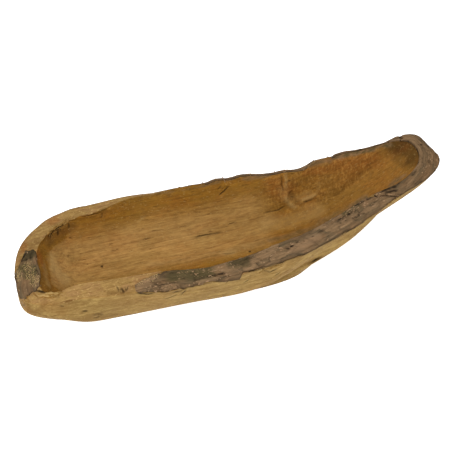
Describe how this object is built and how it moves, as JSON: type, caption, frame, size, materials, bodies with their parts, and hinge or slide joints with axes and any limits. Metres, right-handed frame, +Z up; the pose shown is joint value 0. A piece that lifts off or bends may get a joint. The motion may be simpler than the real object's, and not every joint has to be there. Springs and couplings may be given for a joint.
{
  "type": "dough bowl",
  "caption": "Long shallow bowl hollowed from a root, blunt at one end and narrow at the other, with weathered live edge left on its brim. Holds dough, bread or fruit.",
  "frame": {"origin": "on the table, under the middle of the bowl's box", "axes": "+X from the blunt heel to the narrow tip, +Y from the lower near side to the higher far side, +Z up"},
  "size_m": [0.7652, 0.22, 0.1181],
  "materials": {
    "carved_wood": "dry carved root wood with a low oil sheen, golden brown with darker lengthwise grain",
    "weathered_crust": "rough grey brown weathered wood, matt, with cracks and greenish patches"
  },
  "bodies": {
    "root": {"bowl_body": "carved_wood", "near_live_edge": "weathered_crust", "tip_live_edge": "weathered_crust", "far_live_edge": "weathered_crust", "heel_live_edge": "weathered_crust"}
  },
  "joints": []
}
